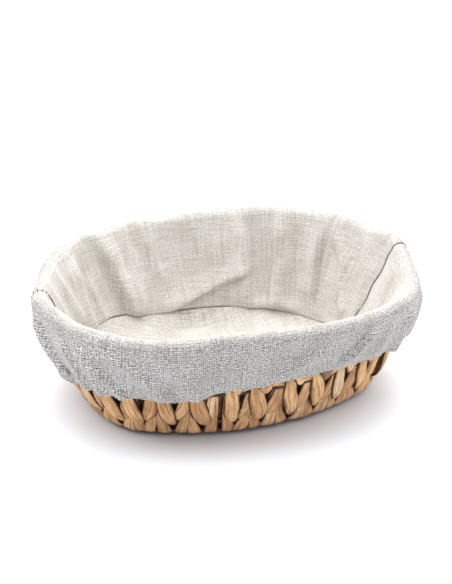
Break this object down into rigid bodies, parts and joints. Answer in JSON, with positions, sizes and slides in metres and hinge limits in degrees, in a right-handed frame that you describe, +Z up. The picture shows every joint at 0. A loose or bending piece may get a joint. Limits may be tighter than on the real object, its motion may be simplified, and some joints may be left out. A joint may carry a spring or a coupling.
{
  "type": "banneton basket",
  "caption": "Oval woven proofing basket with a flared wall, and a linen liner that folds over the rim and lifts out.",
  "frame": {"origin": "centre of the resting plane, under the middle of the basket", "axes": "+X along the basket's length, +Y across its width, +Z up"},
  "size_m": [0.3008, 0.242, 0.0984],
  "materials": {
    "hyacinth": "dry plant fibre, matte",
    "frame_wire": "dark brown lacquer",
    "linen": "undyed plain weave",
    "seam_thread": "dark overlock thread",
    "hem_thread": "natural thread",
    "elastic": "covered elastic"
  },
  "bodies": {
    "basket": {"weave_row_1": "hyacinth", "weave_row_2": "hyacinth", "weave_row_3": "hyacinth", "weave_row_4": "hyacinth", "rim_border": "hyacinth", "base_mat": "hyacinth", "base_hoop": "frame_wire", "hoop_1": "frame_wire", "hoop_2": "frame_wire", "hoop_3": "frame_wire", "rim_hoop": "frame_wire", "rib_01": "frame_wire", "rib_02": "frame_wire", "rib_03": "frame_wire", "rib_04": "frame_wire", "rib_05": "frame_wire", "rib_06": "frame_wire", "rib_07": "frame_wire", "rib_08": "frame_wire", "rib_09": "frame_wire", "rib_10": "frame_wire", "rib_11": "frame_wire", "rib_12": "frame_wire", "rib_13": "frame_wire", "rib_14": "frame_wire", "rib_15": "frame_wire", "rib_16": "frame_wire", "base_wire_1": "frame_wire", "base_wire_2": "frame_wire", "base_wire_3": "frame_wire", "base_wire_4": "frame_wire", "base_wire_5": "frame_wire"},
    "liner": {"liner_base": "linen", "liner_wall_front": "linen", "liner_wall_back": "linen", "liner_skirt_front": "linen", "liner_skirt_back": "linen", "base_seam_thread": "seam_thread", "left_seam_thread": "seam_thread", "right_seam_thread": "seam_thread", "hem_thread": "hem_thread", "hem_elastic": "elastic"}
  },
  "joints": [
    {"name": "liner_lift", "type": "slide", "parent": "basket", "child": "liner", "axis": [0, 0, 1], "range_m": [0, 0.13], "deforming": ["liner_skirt_front", "liner_skirt_back", "hem_elastic", "hem_thread"]}
  ]
}
